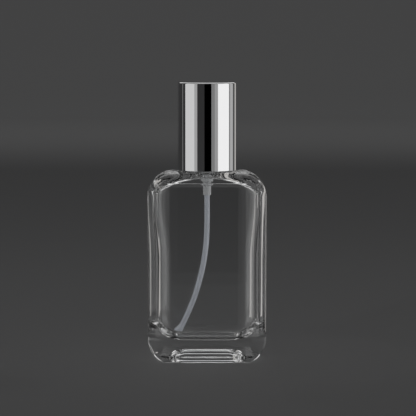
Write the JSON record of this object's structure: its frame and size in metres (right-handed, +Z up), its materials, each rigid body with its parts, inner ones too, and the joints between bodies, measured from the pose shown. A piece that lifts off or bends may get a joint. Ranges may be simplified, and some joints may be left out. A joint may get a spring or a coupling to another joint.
{
  "type": "aftershave bottle",
  "caption": "Rectangular clear glass atomiser bottle with rounded shoulders, a heavy recessed base, a crimped fine-mist pump with a curved dip tube, and a tall bright cylindrical cap.",
  "frame": {"origin": "centre of the base, on the plane that the bottle stands on", "axes": "+Z up along the neck, X along the wide face, -Y out of the front face"},
  "size_m": [0.0426, 0.027, 0.0985],
  "materials": {
    "clear_glass": "clear flint glass, fire polished",
    "bright_metal": "mirror bright",
    "ferrule_aluminium": "satin drawn",
    "spring_steel": "bright drawn wire and polished ball",
    "white_plastic": "smooth moulded",
    "natural_plastic": "translucent, unpigmented",
    "tube_plastic": "translucent extruded, faintly blue",
    "seal": "matt, soft"
  },
  "bodies": {
    "bottle": {"glass_bottle": "clear_glass", "neck_gasket": "seal", "pump_housing": "natural_plastic", "return_spring": "spring_steel", "stem_seal": "seal", "stem_guide": "white_plastic", "crimp_ferrule": "ferrule_aluminium", "collar": "bright_metal", "dip_tube": "tube_plastic"},
    "cap": {"cap_shell": "bright_metal", "cap_liner": "white_plastic"},
    "pump_stem": {"stem": "white_plastic", "valve_spool": "white_plastic", "precompression_spring": "spring_steel"},
    "pump_piston": {"piston": "natural_plastic"},
    "button": {"actuator": "white_plastic", "actuator_sheath": "bright_metal", "nozzle_insert": "white_plastic"},
    "check_ball": {"inlet_ball": "spring_steel"}
  },
  "joints": [
    {"name": "cap_lift", "type": "slide", "parent": "bottle", "child": "cap", "axis": [0, 0, 1], "range_m": [0, 0.04]},
    {"name": "stem_press", "type": "slide", "parent": "bottle", "child": "pump_stem", "axis": [0, 0, -1], "range_m": [0, 0.0042], "stiffness_N_per_m": 800, "springref_m": -0.005, "deforming": ["return_spring"]},
    {"name": "piston_slip", "type": "slide", "parent": "pump_stem", "child": "pump_piston", "axis": [0, 0, 1], "range_m": [0, 0.0005], "stiffness_N_per_m": 500, "springref_m": -0.004, "deforming": ["precompression_spring"]},
    {"name": "button_turn", "type": "hinge", "parent": "pump_stem", "child": "button", "pos_m": [0, 0, 0.09], "axis": [0, 0, 1], "continuous": true},
    {"name": "ball_lift", "type": "slide", "parent": "bottle", "child": "check_ball", "axis": [0, 0, 1], "range_m": [0, 0.0008]}
  ]
}
